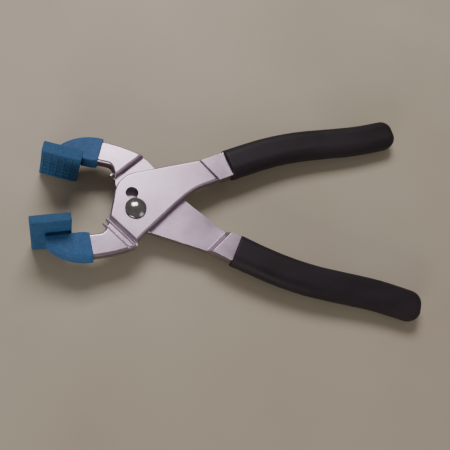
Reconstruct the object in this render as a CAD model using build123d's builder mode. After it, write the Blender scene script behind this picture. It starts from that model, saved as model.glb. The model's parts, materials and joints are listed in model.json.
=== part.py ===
"""Running pliers: slip-joint pliers with wide padded jaws, for breaking glass along a score.

Frame: the origin is on the pivot bolt's axis, half way between the two levers. +X runs along
the handles, +Y is towards the jaw of the rear lever, +Z points out of the bolt's domed head.

Both levers are one forging. It is drawn once, in the lever's own seat: x towards the handle
end, y towards the handle's side, z out of the lap's outer face. The rear lever is the same
forging turned over about the X axis, and the front lever is moved by the bolt's place in it.
"""
from build123d import *
from math import cos, hypot, radians, sin, sqrt, tan
import os

# ---------------------------------------------------------------- driving dimensions (mm)
# levers
finger_thickness = 6.6        # full thickness of jaw finger, tang and handle core
lap_thickness = 4.5           # each lever's half of the lap joint
lap_gap = 0.2                 # running gap between the two laps
lap_edge_radius = 1.1         # rounding of the lap's outer rim
finger_edge_radius = 1.2      # rounding of the jaw finger's long edges
front_lap_trim = 2.6          # the front lap is this much slimmer along its jaw side
lap_corner_radius = 14.5      # round shoulder of the lap beside the jaw throat
ramp_radius = 3.6             # hollow of the ramp from the finger down to the mating face
ledge_radius = 3.0            # hollow of the step from the lap's outer face to the finger
core_end_share = 0.4          # handle core's end corners, as a share of its width
core_width = 13.4             # handle core, in the plane of the tool
tang_ramp = 2.6               # sloping end of the tang, down to the mating face
tang_ledge = 2.0              # slope from the lap's outer face down to the tang
core_end_gap = 3.0            # steel ends this far inside the grip's closed end
# pivot
bolt_diameter = 6.2
running_clearance = 0.05      # radial, bolt in lever
flats_width = 3.5             # bolt across the flats that pass the slot's neck
neck_clearance = 0.4          # each side of the flats in the neck
slip_travel = 8.25            # between the two bolt holes of the front lever
slip_heading = 103.4          # degrees, direction of the slot in the front lever
slip_opening = 9.5            # degrees that the levers open while the bolt changes holes
head_overhang = 2.2           # dome, past the bolt
head_height = 2.7
head_rim = 0.8                # upright edge of the domed head
head_rim_radius = 0.35
seat_gap = 0.1                # under the head and under the washer
thread_step = 0.1             # thread's radius is this much under the bolt's
washer_overhang = 2.75        # past the thread
washer_thickness = 0.9
nut_wall = 2.0
nut_height = 4.6
nut_corner_chamfer = 1.15
thread_chamfer = 0.5
washer_chamfer = 0.25
tail_length = 0.7             # thread past the nut
# grips
grip_side_wall = 1.5          # vinyl at the core's sides
grip_face_wall = 2.2          # vinyl over the core's two faces
grip_corner_radius = 6.6
grip_edge_radius = 4.6
grip_mouth_reach = 8.0        # edges this near the grip's mouth stay sharp
# jaw boots
boot_wall = 1.1
boot_back_radius = 2.2        # along the boot's curved back
pad_recess_gap = 0.3          # between the pad's ends and the boot's wall, where the pad sinks into it
saddle_length = 11.0
saddle_offset = 2.5           # from the pad's middle towards the pivot
saddle_inset = 0.8            # saddle's sides, in from the boot's sides
saddle_root = 1.0             # saddle reaches this far into the boot's wall
nose_reach = 1.0              # boot's nose, past the finger's tip
# pads
pad_length = 19.0
pad_width = 28.0
pad_tilt = 9.4                # degrees, working face against the X axis
upper_pad_thickness = 6.1     # at its two raised ends
lower_pad_thickness = 4.5     # at its two low ends
pad_crown = 1.2               # hollow of the upper face, crown of the lower one
upper_pad_standoff = -0.6     # pad back above the boot's inner wall, or sunk into it
lower_pad_standoff = 1.0
upper_pad_rock = -2.0         # degrees about the jaw's length, as the pad sits on its boot
lower_pad_rock = 7.0
upper_pad_lean = -4.0         # degrees in the plane of its working face
lower_pad_lean = 0.0
pad_edge_radius = 0.6
tread_depth = 0.7             # square pockets in the working face
tread_web = 0.9               # between neighbouring pockets
tread_border = 1.5            # plain rim around the pockets
tread_columns = 5
tread_rows = 7
# steel bar inside each pad, and the rivets that hold it
bar_end_cover = 2.1           # pad past the bar, along the jaw
bar_side_cover = 2.2          # pad past the bar, across the jaw
bar_thickness = 1.6
bar_corner_radius = 1.5
bar_cover = 1.2               # pad thickness behind the bar
rivet_diameter = 2.8
rivet_depth = 3.2             # into the finger
rivet_pitch = 4.4
rivet_offset = 3.2            # middle of the rivet pair, from the pad's middle to the pivot

# ---------------------------------------------------------------- derived sizes
finger_half = finger_thickness / 2
lap_face = lap_gap / 2
lap_top = lap_face + lap_thickness
bolt_radius = bolt_diameter / 2
hole_radius = bolt_radius + running_clearance
boot_half = finger_half + boot_wall
grip_width = core_width + 2 * grip_side_wall
grip_thickness = finger_thickness + 2 * grip_face_wall
head_diameter = bolt_diameter + 2 * head_overhang
thread_diameter = bolt_diameter - 2 * thread_step
washer_diameter = thread_diameter + 2 * washer_overhang
nut_across_flats = thread_diameter + 2 * nut_wall
bar_length = pad_length - 2 * bar_end_cover
bar_width = pad_width - 2 * bar_side_cover
far = 40.0                            # reach of cuts that pass right across a lever

# the bolt's hole in the rear lever is the forging's own origin
front_offset = Vector(-2.55, 10.7)
narrow_hole = Vector(0, 0) - front_offset
slip_step = Vector(slip_travel, 0).rotate(Axis.Z, slip_heading)
wide_hole = narrow_hole + slip_step

front_seat = Plane(origin=(front_offset.X, front_offset.Y, 0), x_dir=(1, 0, 0), z_dir=(0, 0, 1))
rear_seat = Plane(origin=(0, 0, 0), x_dir=(1, 0, 0), z_dir=(0, 0, -1))

# ---------------------------------------------------------------- the forging's outline, in its seat
tang_outer = (36.3, 18.7)             # where the lap steps to the tang
tang_inner = (46.0, 8.5)
handle_line = [(50.6, 18.0), (72.0, 27.0), (94.0, 33.4), (116.0, 37.5), (138.0, 42.8), (149.6, 46.4)]
handle_start_angle = 23.0
throat_top = (-8.3, -5.6)             # straight back of the jaw throat
throat_end = (-11.3, -20.8)
throat_corner = (-12.2, -22.7)
finger_inner = (-14.2, -23.9)         # jaw finger, edge that faces the other jaw
finger_crown = (-9.0, -34.2)
finger_back = (-20.0, -36.3)
finger_bend = (-30.5, -34.9)
finger_tip = (-37.6, -30.6)
ramp_start = (-10.0, -16.6)           # edge of the lap's mating face, beside the jaw
ramp_end = (3.9, -29.6)
ramp_run = 3.7
ledge_run = 2.4
rib_overhang = 1.1                    # the front lever's ribs stick out past the throat
rib_end_gap = 1.6                     # ribs stop this far short of the lap's low corner
high_rib = (0.7, 1.1, 0.75)           # place past the ramp's foot, width, height
low_rib = (3.4, 0.9, 0.45)
ramp_rise = 0.4                       # the ramp's cut ends this far above the finger
ledge_start = 0.2
lap_shoulder = (2.4, 9.0)             # lap rim beside the jaw, where its round shoulder starts
lap_rim = [(37.2, 1.6), (27.1, -6.2), (16.7, -17.0), (6.2, -28.0)]
lap_rim_heading = -48.0
handle_end_tangent = (0.96, 0.28)
handle_end_angle = 17.0
pad_middle_x = -36.3                  # middle of the pads, along the jaw
boot_mouth_outer = (-16.4, -37.2)
boot_mouth_inner = (-19.2, -24.2)
boot_crown = (-28.2, -37.0)
boot_nose = (-38.5, -31.5)


def spot(seat, point, height=0.0):
    """A point given in a lever's seat, in the tool's frame."""
    return seat.from_local_coords(Vector(point[0], point[1], height))


def heading(seat, angle):
    """A direction in the plane of the tool, at an angle from the seat's x axis."""
    return spot(seat, (cos(radians(angle)), sin(radians(angle)))) - seat.origin


def inner_wall(x):
    """Height of the finger's inner edge at x, in the seat: a line at the pads' tilt."""
    return finger_inner[1] + (x - finger_inner[0]) * tan(radians(pad_tilt))


def crosswise(seat, start, end):
    """Plane across the line start-end: x towards the jaw tip, y towards the mating side."""
    along = spot(seat, end) - spot(seat, start)
    jawward = along.cross(seat.z_dir)
    return Plane(origin=spot(seat, start), x_dir=jawward, z_dir=along)


def pad_seat(seat, standoff, rock, lean):
    """Middle of a pad's back: x across the tool, y out of the working face, z towards the jaw's tip."""
    base = Vector(pad_middle_x, inner_wall(pad_middle_x))
    outward = Vector(0, boot_wall + standoff).rotate(Axis.Z, pad_tilt)
    centre = base + outward
    square = Plane(
        origin=spot(seat, (centre.X, centre.Y)),
        x_dir=seat.z_dir,
        z_dir=heading(seat, pad_tilt + 180.0),
    )
    return Plane(square.location * Location((0, 0, 0), (0, lean, rock)))


lower_seat = pad_seat(front_seat, lower_pad_standoff, lower_pad_rock, lower_pad_lean)
upper_seat = pad_seat(rear_seat, upper_pad_standoff, upper_pad_rock, upper_pad_lean)


def lap_low_edge(trim):
    """Edge of the lap from the tang down to the jaw, moved in by the trim."""
    inward = Vector(-trim, 0).rotate(Axis.Z, lap_rim_heading)
    return [tang_inner] + [(x + inward.X, y + inward.Y) for x, y in lap_rim]


def make_finger(seat):
    """Jaw finger: full thickness, with a hollow ramp down to the lap's mating face."""
    with BuildPart() as finger:
        with BuildSketch(seat):
            with BuildLine():
                Line(ramp_start, throat_end)
                inner_end = (finger_tip[0], inner_wall(finger_tip[0]))
                ThreePointArc(throat_end, throat_corner, finger_inner)
                Polyline(finger_inner, inner_end, finger_tip)
                ThreePointArc(finger_tip, finger_bend, finger_back)
                ThreePointArc(finger_back, finger_crown, ramp_end)
                Line(ramp_end, ramp_start)
            make_face()
        extrude(amount=finger_half, both=True)
        root = (spot(seat, ramp_start) + spot(seat, ramp_end)) * 0.5
        long_edges = [
            edge
            for edge in finger.edges()
            if abs(abs(edge.center().Z) - finger_half) < 0.01 and (edge.center() - root).length > 8.0
        ]
        fillet(long_edges, finger_edge_radius)
        with BuildSketch(crosswise(seat, ramp_start, ramp_end)):
            with BuildLine():
                foot = (0.0, -lap_face)
                head = (ramp_run, finger_half + ramp_rise)
                RadiusArc(foot, head, ramp_radius)
                Polyline(head, (-1.0, head[1]), (-1.0, foot[1]), foot)
            make_face()
        extrude(amount=far, both=True, mode=Mode.SUBTRACT)
    return finger.part


def make_tang(seat):
    """Tang and handle core, one bar along the handle's curve."""
    start = Vector(*handle_line[0])
    side = Vector(0, core_width / 2).rotate(Axis.Z, handle_start_angle)
    outer = start + side
    inner = start - side
    end = Vector(*handle_line[-1]) - Vector(core_end_gap, 0).rotate(Axis.Z, handle_end_angle)
    with BuildPart() as tang:
        with BuildSketch(seat):
            with BuildLine() as run:
                tangent = (cos(radians(handle_start_angle)), sin(radians(handle_start_angle)))
                Spline(*handle_line[:-1], (end.X, end.Y), tangents=[tangent, handle_end_tangent])
            trace(run.line, core_width)
            with BuildLine():
                Polyline(tang_outer, (outer.X, outer.Y), (inner.X, inner.Y), tang_inner, close=True)
            make_face()
        extrude(amount=finger_half, both=True)
        tip_edges = tang.edges().filter_by(Axis.Z).sort_by_distance(spot(seat, (end.X, end.Y)))[:4]
        fillet(tip_edges, core_width * core_end_share)
        with BuildSketch(crosswise(seat, tang_outer, tang_inner)):
            slope = (finger_half + lap_face) / tang_ramp
            with BuildLine():
                Polyline(
                    (0.0, -lap_face),
                    (-tang_ramp - 1.0, finger_half + slope),
                    (1.0, finger_half + slope),
                    (1.0, -lap_face),
                    close=True,
                )
            make_face()
        extrude(amount=far, both=True, mode=Mode.SUBTRACT)
    return tang.part


def make_lap(seat, trim):
    """Half-thickness plate of the lap joint, with a hollow step down to the jaw finger."""
    with BuildPart() as lap:
        low = lap_low_edge(trim)
        with BuildSketch(seat.offset(lap_face)):
            with BuildLine():
                Line(tang_outer, lap_shoulder)
                RadiusArc(lap_shoulder, throat_top, -lap_corner_radius)
                Polyline(throat_top, ramp_start, ramp_end, low[-1])
                Spline(*low[::-1], tangents=[(0.68, 0.73), (0.87, 0.5)])
                Line(tang_inner, tang_outer)
            make_face()
        extrude(amount=lap_thickness)
        root = (spot(seat, ramp_start) + spot(seat, ramp_end)) * 0.5
        outer_face = lap.faces().sort_by(Axis(seat.origin, seat.z_dir))[-1]
        fillet(outer_face.edges().sort_by_distance(root)[1:], lap_edge_radius)
        with BuildSketch(crosswise(seat, ramp_start, ramp_end)):
            with BuildLine():
                foot = (ledge_start, -finger_half)
                head = (-ledge_run, -lap_top - 0.01)
                RadiusArc(head, foot, -ledge_radius)
                Polyline(foot, (1.0, foot[1]), (1.0, head[1] - 1.0), (head[0], head[1] - 1.0), head)
            make_face()
        extrude(amount=far, both=True, mode=Mode.SUBTRACT)
        with BuildSketch(crosswise(seat, tang_outer, tang_inner)):
            slope = (lap_top - finger_half) / tang_ledge
            with BuildLine():
                Polyline(
                    (0.0, -finger_half),
                    (tang_ledge + 1.0, -lap_top - slope),
                    (-1.0, -lap_top - slope),
                    (-1.0, -finger_half),
                    close=True,
                )
            make_face()
        extrude(amount=far, both=True, mode=Mode.SUBTRACT)
    return lap.part


def make_ribs(seat, overhang):
    """Two low ribs across the root of the finger, just past the step of the lap."""
    across = crosswise(seat, ramp_start, ramp_end)
    length = hypot(ramp_end[0] - ramp_start[0], ramp_end[1] - ramp_start[1])
    with BuildPart() as ribs:
        for (place, width, height), start in ((high_rib, -overhang), (low_rib, -overhang / 2)):
            plane = Plane(origin=across.origin + across.z_dir * start, x_dir=across.x_dir, z_dir=across.z_dir)
            top = -finger_half - height
            with BuildSketch(plane):
                with BuildLine():
                    left = (place - width / 2, top + width / 3)
                    right = (place + width / 2, top + width / 3)
                    ThreePointArc(left, (place, top), right)
                    Polyline(right, (right[0], -1.0), (left[0], -1.0), left)
                make_face()
            extrude(amount=length - rib_end_gap - start)
    return ribs.part


def make_bolt_slot(seat):
    """Two holes joined by a neck that the bolt's flats can pass."""
    neck = flats_width + 2 * neck_clearance
    with BuildPart() as slot:
        with BuildSketch(seat):
            with Locations((narrow_hole.X, narrow_hole.Y), (wide_hole.X, wide_hole.Y)):
                Circle(hole_radius)
            middle = (narrow_hole + wide_hole) * 0.5
            with Locations(Location((middle.X, middle.Y, 0), (0, 0, slip_heading))):
                Rectangle(slip_travel, neck)
        extrude(amount=2 * lap_top)
    return slot.part


def make_round_hole(seat):
    with BuildPart() as hole:
        with BuildSketch(seat):
            Circle(hole_radius)
        extrude(amount=2 * lap_top)
    return hole.part


# ---------------------------------------------------------------- rivets and bars inside the pads
def make_rivets(seat):
    """Two rivets along the pad's face direction, from the bar into the finger."""
    bar_face = bar_cover + bar_thickness
    plane = Plane(origin=seat.origin + seat.y_dir * bar_face, x_dir=seat.z_dir, z_dir=-seat.y_dir)
    standoff = upper_pad_standoff if seat is upper_seat else lower_pad_standoff
    with BuildPart() as rivets:
        with BuildSketch(plane):
            with Locations((-rivet_offset, 0)):
                with GridLocations(rivet_pitch, 1.0, 2, 1):
                    Circle(rivet_diameter / 2)
        extrude(amount=bar_face + standoff + boot_wall + rivet_depth)
    return rivets.part


def make_bar(seat, rivets):
    """Steel bar across the jaw, buried in the pad."""
    with BuildPart() as bar:
        with BuildSketch(seat):
            with Locations((0, bar_cover + bar_thickness / 2)):
                Rectangle(bar_width, bar_thickness)
        extrude(amount=bar_length / 2, both=True)
        fillet(bar.edges().filter_by(Axis(seat.origin, seat.y_dir)), bar_corner_radius)
        add(rivets, mode=Mode.SUBTRACT)
    return bar.part


lower_rivets = make_rivets(lower_seat)
upper_rivets = make_rivets(upper_seat)
lower_bar = make_bar(lower_seat, lower_rivets)
upper_bar = make_bar(upper_seat, upper_rivets)

# ---------------------------------------------------------------- levers
with BuildPart() as front_lever:
    add(make_finger(front_seat))
    add(make_lap(front_seat, front_lap_trim))
    add(make_tang(front_seat))
    add(make_ribs(front_seat, rib_overhang))
    add(make_bolt_slot(front_seat), mode=Mode.SUBTRACT)
    add(lower_rivets, mode=Mode.SUBTRACT)

with BuildPart() as rear_lever:
    add(make_finger(rear_seat))
    add(make_lap(rear_seat, 0.0))
    add(make_tang(rear_seat))
    add(make_ribs(rear_seat, 0.0))
    add(make_round_hole(rear_seat), mode=Mode.SUBTRACT)
    add(upper_rivets, mode=Mode.SUBTRACT)


# ---------------------------------------------------------------- vinyl grips
def make_grip(seat, lever):
    """Dipped grip: an even skin along the handle, with a rounded closed end."""
    end = spot(seat, handle_line[-1])
    with BuildPart() as grip:
        with BuildSketch(seat):
            with BuildLine() as run:
                tangent = (cos(radians(handle_start_angle)), sin(radians(handle_start_angle)))
                Spline(*handle_line, tangents=[tangent, handle_end_tangent])
            trace(run.line, grip_width)
        extrude(amount=grip_thickness / 2, both=True)
        fillet(grip.edges().filter_by(Axis.Z).sort_by_distance(end)[:4], grip_corner_radius)
        mouth = spot(seat, handle_line[0])
        rims = [
            edge
            for edge in grip.edges()
            if abs(abs(edge.center().Z) - grip_thickness / 2) < 0.01 and (edge.center() - mouth).length > grip_mouth_reach
        ]
        fillet(rims, grip_edge_radius)
        add(lever, mode=Mode.SUBTRACT)
    return grip.part


front_grip = make_grip(front_seat, front_lever.part)
rear_grip = make_grip(rear_seat, rear_lever.part)


# ---------------------------------------------------------------- jaw boots
def make_boot(seat, pad_plane, standoff, lever, rivets):
    """Moulded boot over the finger's tip, with a saddle that carries the pad."""
    nose_inner_x = boot_nose[0] - nose_reach
    wall = boot_wall / cos(radians(pad_tilt))
    with BuildPart() as boot:
        with BuildSketch(seat):
            with BuildLine():
                Line(boot_mouth_inner, boot_mouth_outer)
                ThreePointArc(boot_mouth_outer, boot_crown, boot_nose)
                nose_inner = (nose_inner_x, inner_wall(nose_inner_x) + wall)
                throat_inner = (boot_mouth_inner[0] - 3.0, inner_wall(boot_mouth_inner[0] - 3.0) + wall)
                Polyline(boot_nose, nose_inner, throat_inner, boot_mouth_inner)
            make_face()
        extrude(amount=boot_half, both=True)
        rims = [edge for edge in boot.edges() if abs(abs(edge.center().Z) - boot_half) < 0.01]
        curved = [edge for edge in rims if edge.geom_type == GeomType.CIRCLE]
        fillet(curved, boot_back_radius)
        with BuildSketch(pad_plane.offset(-saddle_offset)):
            saddle_height = standoff + saddle_root
            with Locations((0, -saddle_height / 2)):
                Rectangle(2 * (boot_half - saddle_inset), saddle_height)
        extrude(amount=saddle_length / 2, both=True)
        with BuildSketch(pad_plane):
            with Locations((0, boot_half / 2)):
                Rectangle(pad_width, boot_half)
        extrude(amount=pad_length / 2 + pad_recess_gap, both=True, mode=Mode.SUBTRACT)
        add(lever, mode=Mode.SUBTRACT)
        add(rivets, mode=Mode.SUBTRACT)
    return boot.part


lower_boot = make_boot(front_seat, lower_seat, lower_pad_standoff, front_lever.part, lower_rivets)
upper_boot = make_boot(rear_seat, upper_seat, upper_pad_standoff, rear_lever.part, upper_rivets)


# ---------------------------------------------------------------- pads
def make_pad(seat, thickness, rise, bar, rivets):
    """Pad with an arched working face (rise at its middle) cut into square treads."""
    half = pad_width / 2
    with BuildPart() as pad:
        with BuildSketch(seat):
            with BuildLine():
                Polyline((-half, thickness), (-half, 0), (half, 0), (half, thickness))
                ThreePointArc((half, thickness), (0, thickness + rise), (-half, thickness))
            make_face()
        extrude(amount=pad_length / 2, both=True)
        fillet(pad.edges(), pad_edge_radius)
        column_pitch = (pad_length - 2 * tread_border + tread_web) / tread_columns
        row_pitch = (pad_width - 2 * tread_border + tread_web) / tread_rows
        for row in range(tread_rows):
            across = (row - (tread_rows - 1) / 2) * row_pitch
            level = thickness + rise * (1 - (across / half) ** 2)
            with BuildSketch(Plane(origin=seat.origin + seat.y_dir * level, x_dir=seat.x_dir, z_dir=seat.y_dir)):
                with Locations((across, 0)):
                    with GridLocations(1.0, column_pitch, 1, tread_columns):
                        Rectangle(row_pitch - tread_web, column_pitch - tread_web)
            extrude(amount=tread_depth, both=True, mode=Mode.SUBTRACT)
        add(bar, mode=Mode.SUBTRACT)
        add(rivets, mode=Mode.SUBTRACT)
    return pad.part


lower_pad = make_pad(lower_seat, lower_pad_thickness, pad_crown, lower_bar, lower_rivets)
upper_pad = make_pad(upper_seat, upper_pad_thickness, -pad_crown, upper_bar, upper_rivets)

# ---------------------------------------------------------------- pivot bolt, washer and nut
head_base = lap_top + seat_gap
washer_top = -lap_top - seat_gap
nut_top = washer_top - washer_thickness
nut_base = nut_top - nut_height

tail_end = nut_base - tail_length
thread_radius = thread_diameter / 2
head_radius = head_diameter / 2

# the dome is a cap of a sphere whose middle is on the bolt's axis
dome_height = head_height - head_rim
dome_sphere = (head_radius**2 + dome_height**2) / (2 * dome_height)
dome_middle = head_base + head_height - dome_sphere
half_way = head_radius / 2

with BuildPart() as pivot_bolt:
    with BuildSketch(Plane.XZ):
        with BuildLine():
            crown = (0, head_base + head_height)
            brow = (half_way, dome_middle + sqrt(dome_sphere**2 - half_way**2))
            rim = (head_radius, head_base + head_rim)
            Polyline(
                crown,
                (0, tail_end),
                (thread_radius - thread_chamfer, tail_end),
                (thread_radius, tail_end + thread_chamfer),
                (thread_radius, washer_top),
                (bolt_radius, washer_top),
                (bolt_radius, head_base),
                (head_radius, head_base),
                rim,
            )
            ThreePointArc(rim, brow, crown)
        make_face()
    revolve(axis=Axis.Z)
    rim_edges = pivot_bolt.edges().filter_by(GeomType.CIRCLE).filter_by_position(
        Axis.Z, head_base + head_rim - 0.01, head_base + head_rim + 0.01
    )
    fillet(rim_edges, head_rim_radius)
    with BuildSketch(Plane.XY):
        Circle(head_radius)
        with Locations(Location((0, 0, 0), (0, 0, slip_heading + slip_opening / 2))):
            Rectangle(2 * head_diameter, flats_width, mode=Mode.SUBTRACT)
    extrude(amount=head_base, mode=Mode.SUBTRACT)

with BuildPart() as pivot_washer:
    with BuildSketch(Plane.XY.offset(nut_top)):
        Circle(washer_diameter / 2)
        Circle(thread_radius + running_clearance, mode=Mode.SUBTRACT)
    extrude(amount=washer_thickness)
    low_rim = pivot_washer.edges().group_by(Axis.Z)[0].sort_by(SortBy.LENGTH)[-1]
    chamfer(low_rim, washer_chamfer)

with BuildPart() as pivot_nut:
    with BuildSketch(Plane.XY.offset(nut_base)):
        RegularPolygon(nut_across_flats / 2, 6, major_radius=False)
        Circle(thread_radius, mode=Mode.SUBTRACT)
    extrude(amount=nut_height)
    with BuildSketch(Plane.XZ):
        with BuildLine():
            inner = nut_across_flats / 2 - nut_corner_chamfer / 3
            outer = nut_across_flats / 2 + 2 * nut_corner_chamfer
            rise = nut_corner_chamfer
            Polyline(
                (inner, nut_base),
                (inner, nut_base - 1.0),
                (outer, nut_base - 1.0),
                (outer, nut_base + rise),
                (inner, nut_base),
            )
        make_face()
    revolve(axis=Axis.Z, mode=Mode.SUBTRACT)

# ---------------------------------------------------------------- write the nodes
nodes = {
    "front_lever": front_lever.part,
    "rear_lever": rear_lever.part,
    "front_grip": front_grip,
    "rear_grip": rear_grip,
    "lower_jaw_boot": lower_boot,
    "upper_jaw_boot": upper_boot,
    "lower_pad": lower_pad,
    "upper_pad": upper_pad,
    "lower_pad_bar": lower_bar,
    "upper_pad_bar": upper_bar,
    "lower_bar_rivets": lower_rivets,
    "upper_bar_rivets": upper_rivets,
    "pivot_bolt": pivot_bolt.part,
    "pivot_washer": pivot_washer.part,
    "pivot_nut": pivot_nut.part,
}
os.makedirs("parts", exist_ok=True)
for name, piece in nodes.items():
    piece.label = name
    export_step(piece, f"parts/{name}.step")

# the axis that the bolt and the rear lever turn about while the bolt changes holes
swing_radius = slip_travel / (2 * sin(radians(slip_opening / 2)))
swing_side = Vector(swing_radius * cos(radians(slip_opening / 2)), 0).rotate(Axis.Z, slip_heading - 90.0)
swing_centre = slip_step * 0.5 + swing_side
print("slip swing centre", round(swing_centre.X, 3), round(swing_centre.Y, 3))
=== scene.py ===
"""Looks of the running pliers: soft skins, materials, floor, light and camera around the CAD frame."""
import json
from math import radians

import bmesh
import bpy
from mathutils import Matrix, Vector, noise


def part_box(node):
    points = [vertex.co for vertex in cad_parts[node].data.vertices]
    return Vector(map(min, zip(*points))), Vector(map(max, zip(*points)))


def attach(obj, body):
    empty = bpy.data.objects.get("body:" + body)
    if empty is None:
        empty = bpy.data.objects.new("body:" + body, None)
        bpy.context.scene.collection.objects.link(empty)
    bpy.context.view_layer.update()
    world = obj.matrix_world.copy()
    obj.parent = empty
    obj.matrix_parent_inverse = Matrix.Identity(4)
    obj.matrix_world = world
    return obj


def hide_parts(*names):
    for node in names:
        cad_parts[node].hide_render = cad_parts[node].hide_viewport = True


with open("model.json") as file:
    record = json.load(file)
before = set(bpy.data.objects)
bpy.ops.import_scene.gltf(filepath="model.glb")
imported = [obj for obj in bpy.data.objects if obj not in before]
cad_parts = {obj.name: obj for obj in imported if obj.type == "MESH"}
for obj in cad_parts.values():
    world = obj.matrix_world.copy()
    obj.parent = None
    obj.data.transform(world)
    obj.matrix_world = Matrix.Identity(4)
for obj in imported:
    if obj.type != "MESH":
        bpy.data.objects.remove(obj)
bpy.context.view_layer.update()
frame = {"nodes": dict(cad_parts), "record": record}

MM = 0.001
nodes = frame["nodes"]
body_of_node = {n: body for body, names in frame["record"]["behaviour"]["bodies"].items() for n in names}

# ---------------------------------------------------------------- camera
CAMERA_PLACE = Vector((-0.0325, -0.1193, 0.3011))
CAMERA_RIGHT = Vector((0.9702, -0.0344, 0.2398))
CAMERA_UP = Vector((-0.0518, 0.9377, 0.3437))
CAMERA_LENS = 52.0
CAMERA_SENSOR = 36.0


def make_camera():
    """Looks down on the tool from above the lower jaw, with a slight roll."""
    right = CAMERA_RIGHT.normalized()
    back = right.cross(CAMERA_UP).normalized()
    up = back.cross(right)
    camera = bpy.data.objects.new("camera", bpy.data.cameras.new("camera"))
    bpy.context.scene.collection.objects.link(camera)
    turn = Matrix((right, up, back)).transposed()
    camera.matrix_world = Matrix.Translation(CAMERA_PLACE) @ turn.to_4x4()
    camera.data.lens = CAMERA_LENS
    camera.data.sensor_width = CAMERA_SENSOR
    camera.data.clip_start = 0.01
    camera.data.clip_end = 10.0
    bpy.context.scene.camera = camera


# ---------------------------------------------------------------- node helpers
class Shader:
    """A material with one Principled shader, and short calls for the nodes that feed it."""

    def __init__(self, name, roughness, metallic=0.0):
        self.material = bpy.data.materials.new(name)
        self.material.use_nodes = True
        self.tree = self.material.node_tree
        self.bsdf = self.tree.nodes["Principled BSDF"]
        self.bsdf.inputs["Roughness"].default_value = roughness
        self.bsdf.inputs["Metallic"].default_value = metallic
        self.place = self.tree.nodes.new("ShaderNodeTexCoord").outputs["Object"]
        self.normal = None

    def node(self, kind, **values):
        made = self.tree.nodes.new(kind)
        for name, value in values.items():
            setattr(made, name, value)
        return made

    def link(self, source, target):
        self.tree.links.new(source, target)

    def stretched(self, turn=0.0, scale=(1.0, 1.0, 1.0)):
        """Object coordinates turned about Z, in degrees, then scaled."""
        mapping = self.node("ShaderNodeMapping", vector_type="TEXTURE")
        mapping.inputs["Rotation"].default_value = (0.0, 0.0, radians(turn))
        mapping.inputs["Scale"].default_value = scale
        self.link(self.place, mapping.inputs["Vector"])
        return mapping.outputs["Vector"]

    def noise(self, size, detail=4.0, roughness=0.5, vector=None):
        """Noise with features of about this size, in metres."""
        made = self.node("ShaderNodeTexNoise")
        made.inputs["Scale"].default_value = 1.0 / size
        made.inputs["Detail"].default_value = detail
        made.inputs["Roughness"].default_value = roughness
        self.link(vector or self.place, made.inputs["Vector"])
        return made.outputs["Fac"]

    def cells(self, size, vector=None):
        """Small round cells of about this size, in metres."""
        made = self.node("ShaderNodeTexVoronoi", feature="SMOOTH_F1")
        made.inputs["Scale"].default_value = 1.0 / size
        made.inputs["Smoothness"].default_value = 0.6
        self.link(vector or self.place, made.inputs["Vector"])
        return made.outputs["Distance"]

    def ramp(self, source, low, high, start=0.3, end=0.7):
        """Number mapped from start..end to low..high."""
        made = self.node("ShaderNodeMapRange")
        for name, value in (("From Min", start), ("From Max", end), ("To Min", low), ("To Max", high)):
            made.inputs[name].default_value = value
        self.link(source, made.inputs["Value"])
        return made.outputs["Result"]

    def mix(self, factor, first, second):
        """Colour between two colours or colour outputs."""
        made = self.node("ShaderNodeMix", data_type="RGBA")
        self.link(factor, made.inputs["Factor"])
        for value, name in ((first, "A"), (second, "B")):
            socket = [s for s in made.inputs if s.name == name and s.type == "RGBA"][0]
            if isinstance(value, tuple):
                socket.default_value = (*value, 1.0)
            else:
                self.link(value, socket)
        return [s for s in made.outputs if s.type == "RGBA"][0]

    def join(self, first, second, operation="MULTIPLY"):
        """Two numbers joined by a math operation."""
        made = self.node("ShaderNodeMath", operation=operation)
        for value, socket in zip((first, second), made.inputs):
            if isinstance(value, (int, float)):
                socket.default_value = value
            else:
                self.link(value, socket)
        return made.outputs["Value"]

    def rounded(self, radius):
        """Soft edges: later bumps lie on normals rounded over this radius."""
        made = self.node("ShaderNodeBevel", samples=6)
        made.inputs["Radius"].default_value = radius
        self.normal = made.outputs["Normal"]

    def edge_mask(self, radius):
        """1 near the object's edges, 0 on its flats."""
        bevel = self.node("ShaderNodeBevel", samples=6)
        bevel.inputs["Radius"].default_value = radius
        geometry = self.node("ShaderNodeNewGeometry")
        product = self.node("ShaderNodeVectorMath", operation="DOT_PRODUCT")
        self.link(bevel.outputs["Normal"], product.inputs[0])
        self.link(geometry.outputs["Normal"], product.inputs[1])
        return self.ramp(product.outputs["Value"], 1.0, 0.0, 0.82, 0.995)

    def bump(self, height, depth, strength=1.0):
        """Adds relief of this depth, in metres."""
        made = self.node("ShaderNodeBump")
        made.inputs["Strength"].default_value = strength
        made.inputs["Distance"].default_value = depth
        self.link(height, made.inputs["Height"])
        if self.normal is not None:
            self.link(self.normal, made.inputs["Normal"])
        self.normal = made.outputs["Normal"]

    def finish(self, colour=None, roughness=None):
        if colour is not None:
            self.link(colour, self.bsdf.inputs["Base Color"])
        if roughness is not None:
            self.link(roughness, self.bsdf.inputs["Roughness"])
        if self.normal is not None:
            self.link(self.normal, self.bsdf.inputs["Normal"])
        return self.material


def dress(piece, material):
    """Gives every face of a piece one material."""
    if not piece.material_slots:
        piece.data.materials.append(material)
    for socket in piece.material_slots:
        socket.material = material


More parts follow.
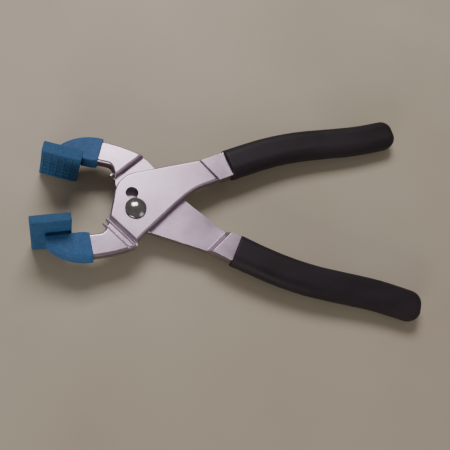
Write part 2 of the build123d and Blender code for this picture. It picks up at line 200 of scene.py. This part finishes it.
# ---------------------------------------------------------------- colours (linear) and directions
PLATE = ((0.39, 0.295, 0.38), (0.49, 0.385, 0.475))
PLATE_GROUND = (0.30, 0.23, 0.29)
PLATE_RUBBED = (0.93, 0.90, 0.91)
# bolt plate tones, set low as a painted dark reflection of the surroundings
BOLT_PLATE_WITH_PAINTED_DARK_REFLECTION = ((0.30, 0.275, 0.265), (0.42, 0.39, 0.38))
BAR_STEEL = ((0.24, 0.23, 0.23), (0.38, 0.37, 0.37))
VINYL = ((0.0095, 0.0068, 0.0085), (0.0190, 0.0122, 0.0160))
VINYL_SCUFFED = (0.045, 0.038, 0.040)
BOOT_BLUE = ((0.028, 0.088, 0.205), (0.040, 0.118, 0.262))
PAD_BLUE = ((0.024, 0.080, 0.170), (0.036, 0.108, 0.222))
TABLE_PAINT = ((0.335, 0.285, 0.205), (0.375, 0.325, 0.245))
GRIND_ANGLE = 17.0          # degrees between each lever's grinding and the X axis
GRIP_ANGLE = 16.0           # degrees, the way that the vinyl's ripples run


# ---------------------------------------------------------------- materials
def make_steel(name, grind_angle):
    """Satin nickel plate over forged steel that was ground along the lever."""
    steel = Shader(name, roughness=0.34, metallic=1.0)
    grind = steel.noise(0.0005, detail=3.0, vector=steel.stretched(grind_angle, (18.0, 1.0, 1.0)))
    cloud = steel.noise(0.016, detail=4.0, roughness=0.65)
    grain = steel.noise(0.00025, detail=2.0)
    orange_peel = steel.noise(0.0032, detail=2.0)
    plate = steel.mix(steel.ramp(cloud, 0.0, 1.0), *PLATE)
    streaked = steel.mix(steel.ramp(grind, 0.0, 0.16, 0.35, 0.75), plate, PLATE_GROUND)
    worn = steel.edge_mask(0.4 * MM)
    colour = steel.mix(steel.join(worn, 0.85), streaked, PLATE_RUBBED)
    satin = steel.join(steel.ramp(grind, 0.30, 0.37), steel.ramp(cloud, -0.03, 0.05), "ADD")
    roughness = steel.join(satin, steel.join(worn, -0.10), "ADD")
    steel.bsdf.inputs["Anisotropic"].default_value = 0.25
    steel.rounded(0.22 * MM)
    steel.bump(orange_peel, 0.05 * MM, 0.25)
    steel.bump(grind, 0.006 * MM, 0.4)
    steel.bump(grain, 0.01 * MM, 0.35)
    return steel.finish(colour, roughness)


def make_polished_steel():
    """Bright turned plate of the bolt, washer and nut, coloured darker than the levers as a painted dark
    reflection of the surroundings.
    """
    steel = Shader("polished_bolt_steel", roughness=0.14, metallic=1.0)
    rings = steel.node("ShaderNodeTexWave", wave_type="RINGS", rings_direction="Z")
    rings.inputs["Scale"].default_value = 900.0
    rings.inputs["Distortion"].default_value = 0.6
    steel.link(steel.place, rings.inputs["Vector"])
    cloud = steel.noise(0.003, detail=4.0)
    scuffs = steel.noise(0.0009, detail=5.0, roughness=0.7)
    # plate tone varies at random, set low overall as a painted dark reflection
    colour = steel.mix(steel.ramp(cloud, 0.0, 1.0), *BOLT_PLATE_WITH_PAINTED_DARK_REFLECTION)
    roughness = steel.ramp(scuffs, 0.09, 0.21)
    steel.rounded(0.15 * MM)
    steel.bump(rings.outputs["Fac"], 0.004 * MM, 0.4)
    steel.bump(scuffs, 0.012 * MM, 0.25)
    return steel.finish(colour, roughness)


def make_plain_steel():
    """Unplated steel of the bars and rivets inside the pads."""
    steel = Shader("plain_bar_steel", roughness=0.45, metallic=1.0)
    cloud = steel.noise(0.002, detail=5.0)
    colour = steel.mix(steel.ramp(cloud, 0.0, 1.0), *BAR_STEEL)
    steel.rounded(0.15 * MM)
    steel.bump(cloud, 0.03 * MM, 0.5)
    return steel.finish(colour, steel.ramp(cloud, 0.38, 0.55))


def make_vinyl():
    """Dipped vinyl: near black with a faint warm bloom, soft wrinkles and a fine grain."""
    vinyl = Shader("black_dipped_vinyl", roughness=0.55)
    bloom = vinyl.noise(0.014, detail=3.0, vector=vinyl.stretched(GRIP_ANGLE, (2.6, 1.0, 1.0)))
    grain = vinyl.noise(0.0005, detail=3.0)
    pits = vinyl.cells(0.0011)
    ripples = vinyl.noise(0.0045, detail=2.0, vector=vinyl.stretched(GRIP_ANGLE, (3.0, 1.0, 1.0)))
    scuffs = vinyl.noise(0.0018, detail=6.0, roughness=0.75)
    base = vinyl.mix(vinyl.ramp(bloom, 0.0, 1.0), *VINYL)
    dusty = vinyl.ramp(scuffs, 0.0, 0.25, 0.55, 0.80)
    colour = vinyl.mix(dusty, base, VINYL_SCUFFED)
    roughness = vinyl.join(vinyl.ramp(bloom, 0.50, 0.62), vinyl.ramp(scuffs, -0.04, 0.08), "ADD")
    vinyl.bsdf.inputs["Sheen Weight"].default_value = 0.03
    vinyl.bsdf.inputs["Sheen Roughness"].default_value = 0.4
    vinyl.bsdf.inputs["Specular IOR Level"].default_value = 0.22
    vinyl.bump(ripples, 0.18 * MM, 0.35)
    vinyl.bump(pits, 0.05 * MM, 0.25)
    vinyl.bump(grain, 0.03 * MM, 0.45)
    return vinyl.finish(colour, roughness)


def make_blue(name, deep, bright, roughness, grain_depth):
    """Moulded blue rubber: a fine spark-eroded grain, faint clouding and paler rubbed edges."""
    blue = Shader(name, roughness=roughness)
    cloud = blue.noise(0.0032, detail=5.0, roughness=0.7)
    grain = blue.noise(0.0006, detail=3.0, roughness=0.6)
    specks = blue.cells(0.0009)
    base = blue.mix(blue.ramp(cloud, 0.0, 1.0), deep, bright)
    grained = blue.mix(blue.ramp(grain, 0.0, 0.55, 0.42, 0.70), base, tuple(c * 0.55 for c in deep))
    patches = blue.ramp(blue.noise(0.0016, detail=4.0), 0.0, 0.6)
    rubbed = blue.join(blue.edge_mask(0.45 * MM), patches)
    colour = blue.mix(rubbed, grained, tuple(c * 1.5 for c in bright))
    blue.bsdf.inputs["Specular IOR Level"].default_value = 0.12
    blue.bump(cloud, 0.12 * MM, 0.2)
    blue.bump(specks, 0.05 * MM, 0.3)
    blue.bump(grain, grain_depth, 0.6)
    return blue.finish(colour, blue.join(blue.ramp(grain, -0.06, 0.08), roughness, "ADD"))


# ---------------------------------------------------------------- soft and moulded skins
def skin_of(node, name, voxel, smoothing, lift, swell=0.0, swell_size=1.0):
    """A smooth, finely meshed copy of a CAD node that stands for it.

    voxel is the mesh size and lift the outward step that makes up for the smoothing. swell adds slow
    hand-dipped unevenness of that height, with features of swell_size. All are in metres.
    """
    skin = bpy.data.objects.new(name, nodes[node].data.copy())
    bpy.context.scene.collection.objects.link(skin)
    weld = skin.modifiers.new("weld", "WELD")
    weld.merge_threshold = 0.002 * MM
    remesh = skin.modifiers.new("remesh", "REMESH")
    remesh.mode = "VOXEL"
    remesh.voxel_size = voxel
    smooth = skin.modifiers.new("smooth", "SMOOTH")
    smooth.factor = 0.5
    smooth.iterations = smoothing
    baked = bpy.data.meshes.new_from_object(skin.evaluated_get(bpy.context.evaluated_depsgraph_get()))
    skin.modifiers.clear()
    skin.data = baked
    mesh = bmesh.new()
    mesh.from_mesh(baked)
    mesh.normal_update()
    moved = []
    for vertex in mesh.verts:
        wave = noise.noise(vertex.co / swell_size) if swell else 0.0
        moved.append(vertex.co + vertex.normal * (lift + swell * wave))
    for vertex, place in zip(mesh.verts, moved):
        vertex.co = place
    for face in mesh.faces:
        face.smooth = True
    mesh.to_mesh(baked)
    mesh.free()
    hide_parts(node)
    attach(skin, body_of_node[node])
    return skin


def make_skins():
    """Vinyl grips, moulded boots and treaded pads."""
    vinyl = make_vinyl()
    boot_blue = make_blue("blue_moulded_boot", *BOOT_BLUE, roughness=0.5, grain_depth=0.03 * MM)
    pad_blue = make_blue("blue_pad_rubber", *PAD_BLUE, roughness=0.62, grain_depth=0.05 * MM)
    for lever in ("front", "rear"):
        grip = skin_of(f"{lever}_grip", f"{lever}_vinyl_grip", 0.55 * MM, 14, 0.03 * MM, 0.10 * MM, 9 * MM)
        dress(grip, vinyl)
    for jaw in ("lower", "upper"):
        boot = skin_of(f"{jaw}_jaw_boot", f"{jaw}_moulded_boot", 0.28 * MM, 3, 0.0)
        dress(boot, boot_blue)
        pad = skin_of(f"{jaw}_pad", f"{jaw}_treaded_pad", 0.22 * MM, 3, 0.0)
        dress(pad, pad_blue)


def dress_steel():
    """Steel nodes keep their CAD shape and get their finish."""
    dress(nodes["front_lever"], make_steel("satin_plate_front", GRIND_ANGLE))
    dress(nodes["rear_lever"], make_steel("satin_plate_rear", -GRIND_ANGLE))
    polished = make_polished_steel()
    for name in ("pivot_bolt", "pivot_washer", "pivot_nut"):
        dress(nodes[name], polished)
    plain = make_plain_steel()
    for name in ("lower_pad_bar", "upper_pad_bar", "lower_bar_rivets", "upper_bar_rivets"):
        dress(nodes[name], plain)


# ---------------------------------------------------------------- floor and light
FLOOR_HALF = 1.6
GRIP_REST = 4 * MM          # the grip touches the table this far from its end
TABLE_CLEARANCE = 0.1 * MM


def make_floor():
    """Plain pale table top, tilted so that the upper pad's low side and the rear grip's end rest on it."""
    pad_low, pad_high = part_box("upper_pad")
    grip_low, grip_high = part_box("rear_grip")
    near = Vector(((pad_low.x + pad_high.x) / 2, 0.0, pad_low.z))
    far = Vector((grip_high.x - GRIP_REST, 0.0, grip_low.z - TABLE_CLEARANCE))
    along = (far - near).normalized()
    across = Vector((0.0, 1.0, 0.0))
    square = ((-1, -1), (1, -1), (1, 1), (-1, 1))
    corners = [near + along * FLOOR_HALF * a + across * FLOOR_HALF * b for a, b in square]
    mesh = bpy.data.meshes.new("table")
    mesh.from_pydata(corners, [], [(0, 1, 2, 3)])
    table = bpy.data.objects.new("table", mesh)
    bpy.context.scene.collection.objects.link(table)
    paint = Shader("pale_table", roughness=0.6)
    cloud = paint.noise(0.09, detail=3.0)
    colour = paint.mix(paint.ramp(cloud, 0.0, 1.0), *TABLE_PAINT)
    paint.bump(paint.noise(0.0008, detail=3.0), 0.05 * MM, 0.2)
    dress(table, paint.finish(colour))


# each lamp's place, width, height, power in watts and colour
LAMPS_AIM = (0.04, 0.0, 0.0)
LAMPS = {
    "window": ((-0.05, 0.46, 0.60), 0.40, 0.28, 5.0, (1.0, 0.955, 0.99)),
    "fill": ((-0.35, -0.80, 0.22), 0.5, 0.3, 4.6, (1.0, 0.96, 0.95)),
    "back_fill": ((0.8, -0.5, 0.6), 0.5, 0.5, 0.8, (1.0, 0.97, 0.94)),
}
ROOM_COLOUR = (0.60, 0.585, 0.575)
ROOM_STRENGTH = 0.36


def make_softbox(name, place, width, height, power, colour):
    light = bpy.data.lights.new(name, "AREA")
    light.shape = "RECTANGLE"
    light.size = width
    light.size_y = height
    light.energy = power
    light.color = colour
    lamp = bpy.data.objects.new(name, light)
    lamp.location = place
    lamp.rotation_euler = (Vector(LAMPS_AIM) - Vector(place)).to_track_quat("-Z", "Y").to_euler()
    bpy.context.scene.collection.objects.link(lamp)


def make_light():
    """One large window-like light beyond the jaws, two weak fills, and a pale room."""
    for name, lamp in LAMPS.items():
        make_softbox(name, *lamp)
    world = bpy.data.worlds.new("room")
    world.use_nodes = True
    background = world.node_tree.nodes["Background"]
    background.inputs["Color"].default_value = (*ROOM_COLOUR, 1.0)
    background.inputs["Strength"].default_value = ROOM_STRENGTH
    bpy.context.scene.world = world


make_camera()
make_skins()
dress_steel()
make_floor()
make_light()
